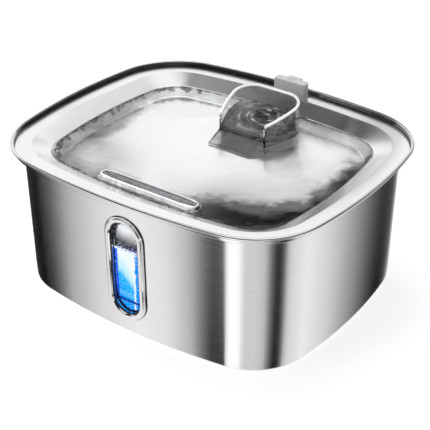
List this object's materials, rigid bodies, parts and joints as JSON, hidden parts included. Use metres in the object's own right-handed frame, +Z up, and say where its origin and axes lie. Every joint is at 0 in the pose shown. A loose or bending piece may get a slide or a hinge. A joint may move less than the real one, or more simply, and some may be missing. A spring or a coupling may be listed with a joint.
{
  "type": "pet water fountain",
  "caption": "Steel water fountain for pets: tank with a sight window, drinking tray with a spout and an overflow drain, and a submerged pump with a filter.",
  "frame": {"origin": "middle of the footprint, on the surface the fountain stands on", "axes": "+Z up, -Y towards the sight window at the front, +X to the right seen from the front"},
  "size_m": [0.3014, 0.2576, 0.14],
  "materials": {
    "brushed_steel": "satin brushed",
    "polished_steel": "polished",
    "clear_plastic": "clear, glossy",
    "window_plastic": "clear, lit blue by the water behind it",
    "silicone": "matte translucent",
    "black_rubber": "matte",
    "grey_plastic": "satin",
    "white_plastic": "satin",
    "dark_plastic": "satin",
    "magnet": "sintered, matte",
    "shaft_ceramic": "polished",
    "core_steel": "laminated, varnished",
    "copper": "enamelled wire",
    "board": "solder mask",
    "lamp": "clear resin",
    "carbon": "granular",
    "sponge": "open foam"
  },
  "bodies": {
    "tank": {"tank_shell": "brushed_steel", "window_bezel": "polished_steel", "window_gasket": "silicone", "window_lens": "window_plastic", "window_retainer": "polished_steel", "window_screws": "polished_steel", "tank_feet": "black_rubber", "pump_housing": "dark_plastic", "housing_cover": "dark_plastic", "cover_screws": "polished_steel", "suction_cups": "silicone", "stator_core": "core_steel", "stator_coil": "copper", "impeller_shaft": "shaft_ceramic", "shaft_bushes": "black_rubber", "volute_cover": "dark_plastic", "volute_screws": "polished_steel", "riser_tube": "silicone", "led_board": "board", "led_lamps": "lamp", "led_lens": "clear_plastic", "cable_gland": "black_rubber", "filter_case": "white_plastic"},
    "tray": {"drinking_tray": "brushed_steel"},
    "spout": {"spout": "clear_plastic", "spout_seal": "silicone"},
    "drain": {"drain_insert": "clear_plastic", "drain_strainer": "dark_plastic"},
    "clip": {"cable_clip": "grey_plastic", "clip_grommet": "silicone"},
    "rotor": {"impeller": "white_plastic", "rotor_magnet": "magnet"},
    "regulator": {"flow_regulator": "white_plastic"},
    "cartridge": {"filter_frame": "white_plastic", "filter_carbon": "carbon", "filter_sponge": "sponge"}
  },
  "joints": [
    {"name": "tray_lift", "type": "slide", "parent": "tank", "child": "tray", "axis": [0, 0, 1], "range_m": [0, 0.16]},
    {"name": "spout_lift", "type": "slide", "parent": "tray", "child": "spout", "axis": [0, 0, 1], "range_m": [0, 0.06]},
    {"name": "drain_lift", "type": "slide", "parent": "tray", "child": "drain", "axis": [0, 0, 1], "range_m": [0, 0.03]},
    {"name": "clip_lift", "type": "slide", "parent": "tank", "child": "clip", "axis": [0, 0, 1], "range_m": [0, 0.03]},
    {"name": "impeller_spin", "type": "hinge", "parent": "tank", "child": "rotor", "pos_m": [0.0025, 0.0735, 0.027], "axis": [0, 1, 0], "continuous": true},
    {"name": "regulator_turn", "type": "hinge", "parent": "tank", "child": "regulator", "pos_m": [0.0025, 0.052, 0.027], "axis": [0, 1, 0], "range_deg": [0, 60]},
    {"name": "cartridge_pull", "type": "slide", "parent": "tank", "child": "cartridge", "axis": [0, -1, 0], "range_m": [0, 0.05]}
  ]
}
